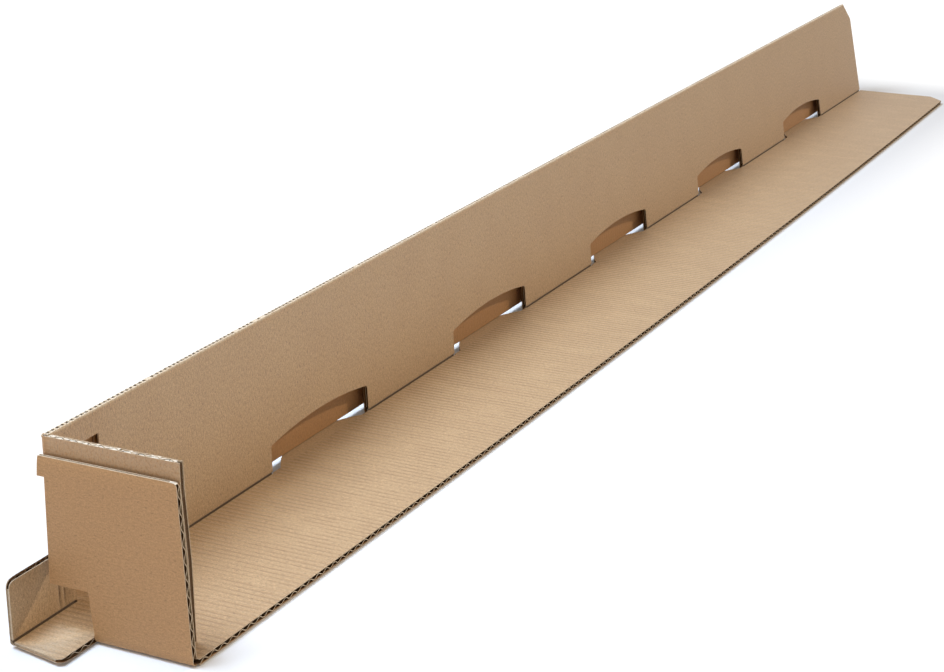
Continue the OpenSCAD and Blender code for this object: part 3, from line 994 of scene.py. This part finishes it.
def folded_board():
    """The whole board as one mesh, with the place on the flat sheet and the wear and painted light of each
    point.
    """
    board = Board()
    liners(board)
    crest(board)
    fluting(board)
    closed_edges(board)
    mesh = bpy.data.meshes.new("folded_board")
    mesh.from_pydata([tuple(float(c) * MM for c in p) for p in board.points], [], board.faces)
    mesh.polygons.foreach_set("material_index", board.kinds)
    sheet = mesh.attributes.new("sheet", "FLOAT_VECTOR", "POINT")
    sheet.data.foreach_set("vector", [c for s in board.sheet for c in (s[0] * MM, s[1] * MM, 0.0)])
    worn = mesh.attributes.new("worn", "FLOAT", "POINT")
    worn.data.foreach_set("value", [float(w) for w in board.worn])
    edit = bmesh.new()
    edit.from_mesh(mesh)
    bmesh.ops.recalc_face_normals(edit, faces=edit.faces)
    edit.to_mesh(mesh)
    edit.free()
    for material in board_materials():
        mesh.materials.append(material)
    mesh.polygons.foreach_set("use_smooth", [True] * len(mesh.polygons))
    mesh.set_sharp_from_angle(angle=math.radians(32))
    piece = bpy.data.objects.new("folded_board", mesh)
    bpy.context.scene.collection.objects.link(piece)
    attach(piece, "root")
    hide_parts("edge_protector")


# The photo's viewpoint, in metres, found by matching the object's corners
CAMERA_AT = (0.4851, -1.22195, 0.4034)
CAMERA_AHEAD, CAMERA_UP = (-0.4292, 0.8442, -0.3211), (-0.1399, 0.289, 0.947)
LENS_MM, SENSOR_MM, LENS_SHIFT = 78.23, 36.0, (-0.001, -0.0068)


def camera():
    """The photograph's viewpoint: a long lens above the cap end, looking along the angle."""
    data = bpy.data.cameras.new("camera")
    data.lens, data.sensor_width, data.sensor_fit = LENS_MM, SENSOR_MM, "HORIZONTAL"
    data.shift_x, data.shift_y = LENS_SHIFT
    data.clip_start, data.clip_end = 0.05, 50.0
    item = bpy.data.objects.new("camera", data)
    ahead, up = Vector(CAMERA_AHEAD).normalized(), Vector(CAMERA_UP)
    up = (up - ahead * up.dot(ahead)).normalized()
    side = ahead.cross(up)
    turn = Matrix((side, up, -ahead)).transposed()
    item.matrix_world = Matrix.Translation(CAMERA_AT) @ turn.to_4x4()
    bpy.context.scene.collection.objects.link(item)
    bpy.context.scene.camera = item


# The studio floor, in metres: its half width, its height just below the object, the half size of the
# place where the object stands, and how far past that the floor turns to plain white
GROUND_R, GROUND_Z = 12.0, -0.0004
STAND_HALF, WHITE_FROM = (0.052, 0.625, 0.0), 0.07
# Share of plain white that is mixed in even next to the object
NEAR_WHITE = 0.05


def ground():
    """A plain white studio floor that keeps the object's shadow."""
    mesh = bpy.data.meshes.new("studio_floor")
    r, z = GROUND_R, GROUND_Z
    mesh.from_pydata([(-r, -r, z), (r, -r, z), (r, r, z), (-r, r, z)], [], [(0, 1, 2, 3)])
    material, tree = new_material("studio floor, white paint")
    paint = node(tree, "ShaderNodeBsdfDiffuse", {"Color": linear("#f2f2f2")})
    white = node(tree, "ShaderNodeEmission", {"Color": (1, 1, 1, 1), "Strength": 1.15})
    rays = node(tree, "ShaderNodeLightPath")
    # The paint shows near the object, where its shadow lies, and turns to plain white away from it
    place = node(tree, "ShaderNodeNewGeometry").outputs["Position"]
    folded = node(tree, "ShaderNodeVectorMath", {0: place}, operation="ABSOLUTE")
    past = node(tree, "ShaderNodeVectorMath", {0: folded.outputs[0], 1: STAND_HALF}, operation="SUBTRACT")
    outside = node(tree, "ShaderNodeVectorMath", {0: past.outputs[0], 1: (0, 0, 0)}, operation="MAXIMUM")
    away = node(tree, "ShaderNodeVectorMath", {0: outside.outputs[0]}, operation="LENGTH")
    share = node(tree, "ShaderNodeMapRange", {
        "Value": away.outputs["Value"], "From Min": 0.0, "From Max": WHITE_FROM,
        "To Min": NEAR_WHITE, "To Max": 1.0})
    seen = node(tree, "ShaderNodeMath", {0: rays.outputs["Is Camera Ray"], 1: share.outputs[0]},
                operation="MULTIPLY")
    mixed = node(tree, "ShaderNodeMixShader", {
        0: seen.outputs[0], 1: paint.outputs[0], 2: white.outputs[0]})
    node(tree, "ShaderNodeOutputMaterial", {"Surface": mixed.outputs[0]})
    mesh.materials.append(material)
    item = bpy.data.objects.new("studio_floor", mesh)
    bpy.context.scene.collection.objects.link(item)


# Lamps: name, kind, power, size in metres, beam in degrees, place in metres and colour
LAMPS = (
    ("soft lamp", "AREA", 6.0, 1.6, 180.0, (-0.7, -1.6, 1.44), (1.0, 0.93, 0.85)),
    ("top lamp", "AREA", 19.7, 0.9, 150.0, (-0.6, -0.65, 1.6), (0.88, 1.05, 1.3)),
    ("far lamp", "SUN", 1.34, None, 3.0, (0.8, 0.8, 0.95), (1.0, 0.82, 0.6)),
)
LAMP_AIM = (0.0, -0.4, 0.0)
ROOM_COLOUR, ROOM_STRENGTH = (1.0, 0.96, 0.9, 1), 0.22


def lamps():
    """A soft lamp from the upper left in front, a cool one above, a warm one from the far right, which
    draws the shadow edges, and a pale room that looks white to the camera."""
    world = bpy.data.worlds.new("studio")
    bpy.context.scene.world = world
    world.use_nodes = True
    tree = world.node_tree
    tree.nodes.clear()
    room = node(tree, "ShaderNodeBackground", {"Color": ROOM_COLOUR, "Strength": ROOM_STRENGTH})
    white = node(tree, "ShaderNodeBackground", {"Color": (1, 1, 1, 1), "Strength": 1.0})
    rays = node(tree, "ShaderNodeLightPath")
    mirrored = node(tree, "ShaderNodeMath", {
        0: rays.outputs["Is Glossy Ray"], 1: rays.outputs["Is Transmission Ray"]}, operation="MAXIMUM")
    seen = node(tree, "ShaderNodeMath", {0: rays.outputs["Is Camera Ray"], 1: mirrored.outputs[0]},
                operation="MAXIMUM")
    mixed = node(tree, "ShaderNodeMixShader", {0: seen.outputs[0], 1: room.outputs[0], 2: white.outputs[0]})
    node(tree, "ShaderNodeOutputWorld", {"Surface": mixed.outputs[0]})
    aim = Vector(LAMP_AIM)
    for name, kind, energy, size, beam, at, colour in LAMPS:
        data = bpy.data.lights.new(name, kind)
        data.energy, data.color = energy, colour
        if kind == "AREA":
            data.size, data.spread = size, math.radians(beam)
        else:
            data.angle = math.radians(beam)
        item = bpy.data.objects.new(name, data)
        item.location = at
        item.rotation_euler = (Vector(at) - aim).to_track_quat("Z", "Y").to_euler()
        bpy.context.scene.collection.objects.link(item)


bpy.context.scene.view_settings.view_transform = "Standard"
camera()
ground()
lamps()
folded_board()
